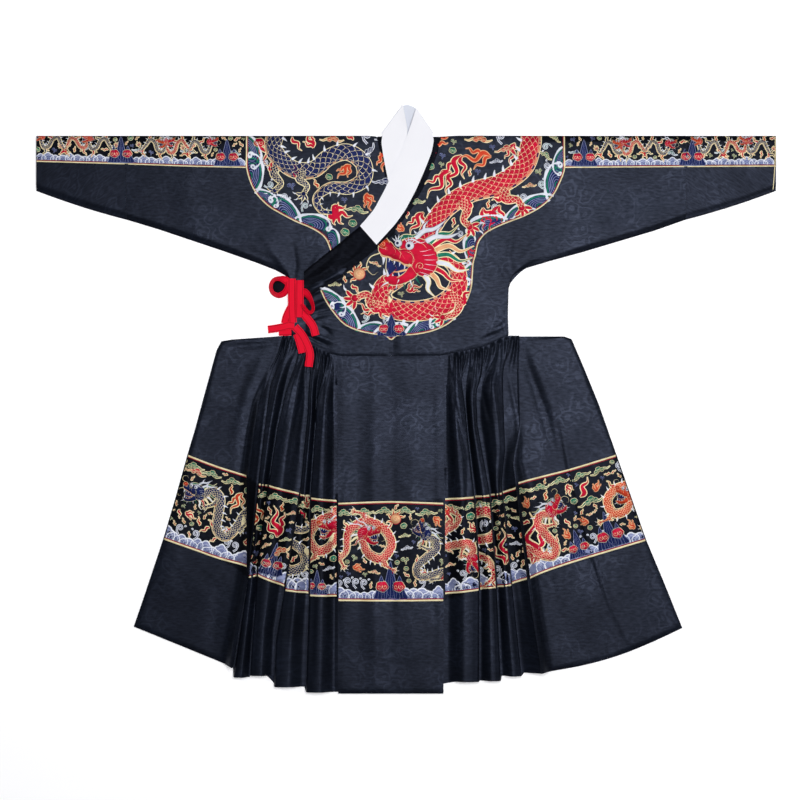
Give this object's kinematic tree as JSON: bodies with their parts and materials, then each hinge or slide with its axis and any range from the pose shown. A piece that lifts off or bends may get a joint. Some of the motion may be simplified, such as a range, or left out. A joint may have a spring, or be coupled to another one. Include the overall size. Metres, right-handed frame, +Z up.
{
  "type": "pleated crossed-collar robe",
  "caption": "Long-sleeved robe with crossed collar, side ties, flat middle skirt panel, knife pleats and flared side fins, laid flat front up.",
  "frame": {"origin": "middle of the laid-out robe's bounding box, on the surface that it lies on", "axes": "+X along the sleeves towards the wearer's left, +Y from hem to collar, +Z up out of the robe's front"},
  "size_m": [1.7026, 1.356, 0.0228],
  "materials": {
    "satin": "near-black navy jacquard satin with woven bands",
    "cotton": "plain white cotton",
    "tape": "red ribbed tape"
  },
  "bodies": {
    "root": {"back_left": "satin", "back_right": "satin", "collar_back": "satin", "collar_guard": "cotton", "collar_over": "satin", "collar_under": "satin", "fin_left": "satin", "fin_left_back": "satin", "fin_right": "satin", "fin_right_back": "satin", "front_left": "satin", "front_overlap": "satin", "front_right": "satin", "pleats_left": "satin", "pleats_right": "satin", "skirt_panel": "satin", "sleeve_left": "satin", "sleeve_right": "satin", "tie_lower_branch": "tape", "tie_lower_left": "tape", "tie_lower_tail": "tape", "tie_lower_under": "tape", "tie_upper_end": "tape", "tie_upper_loop_left": "tape", "tie_upper_loop_right": "tape", "tie_upper_strap_left": "tape", "tie_upper_strap_right": "tape", "tie_upper_tail": "tape"}
  },
  "joints": []
}
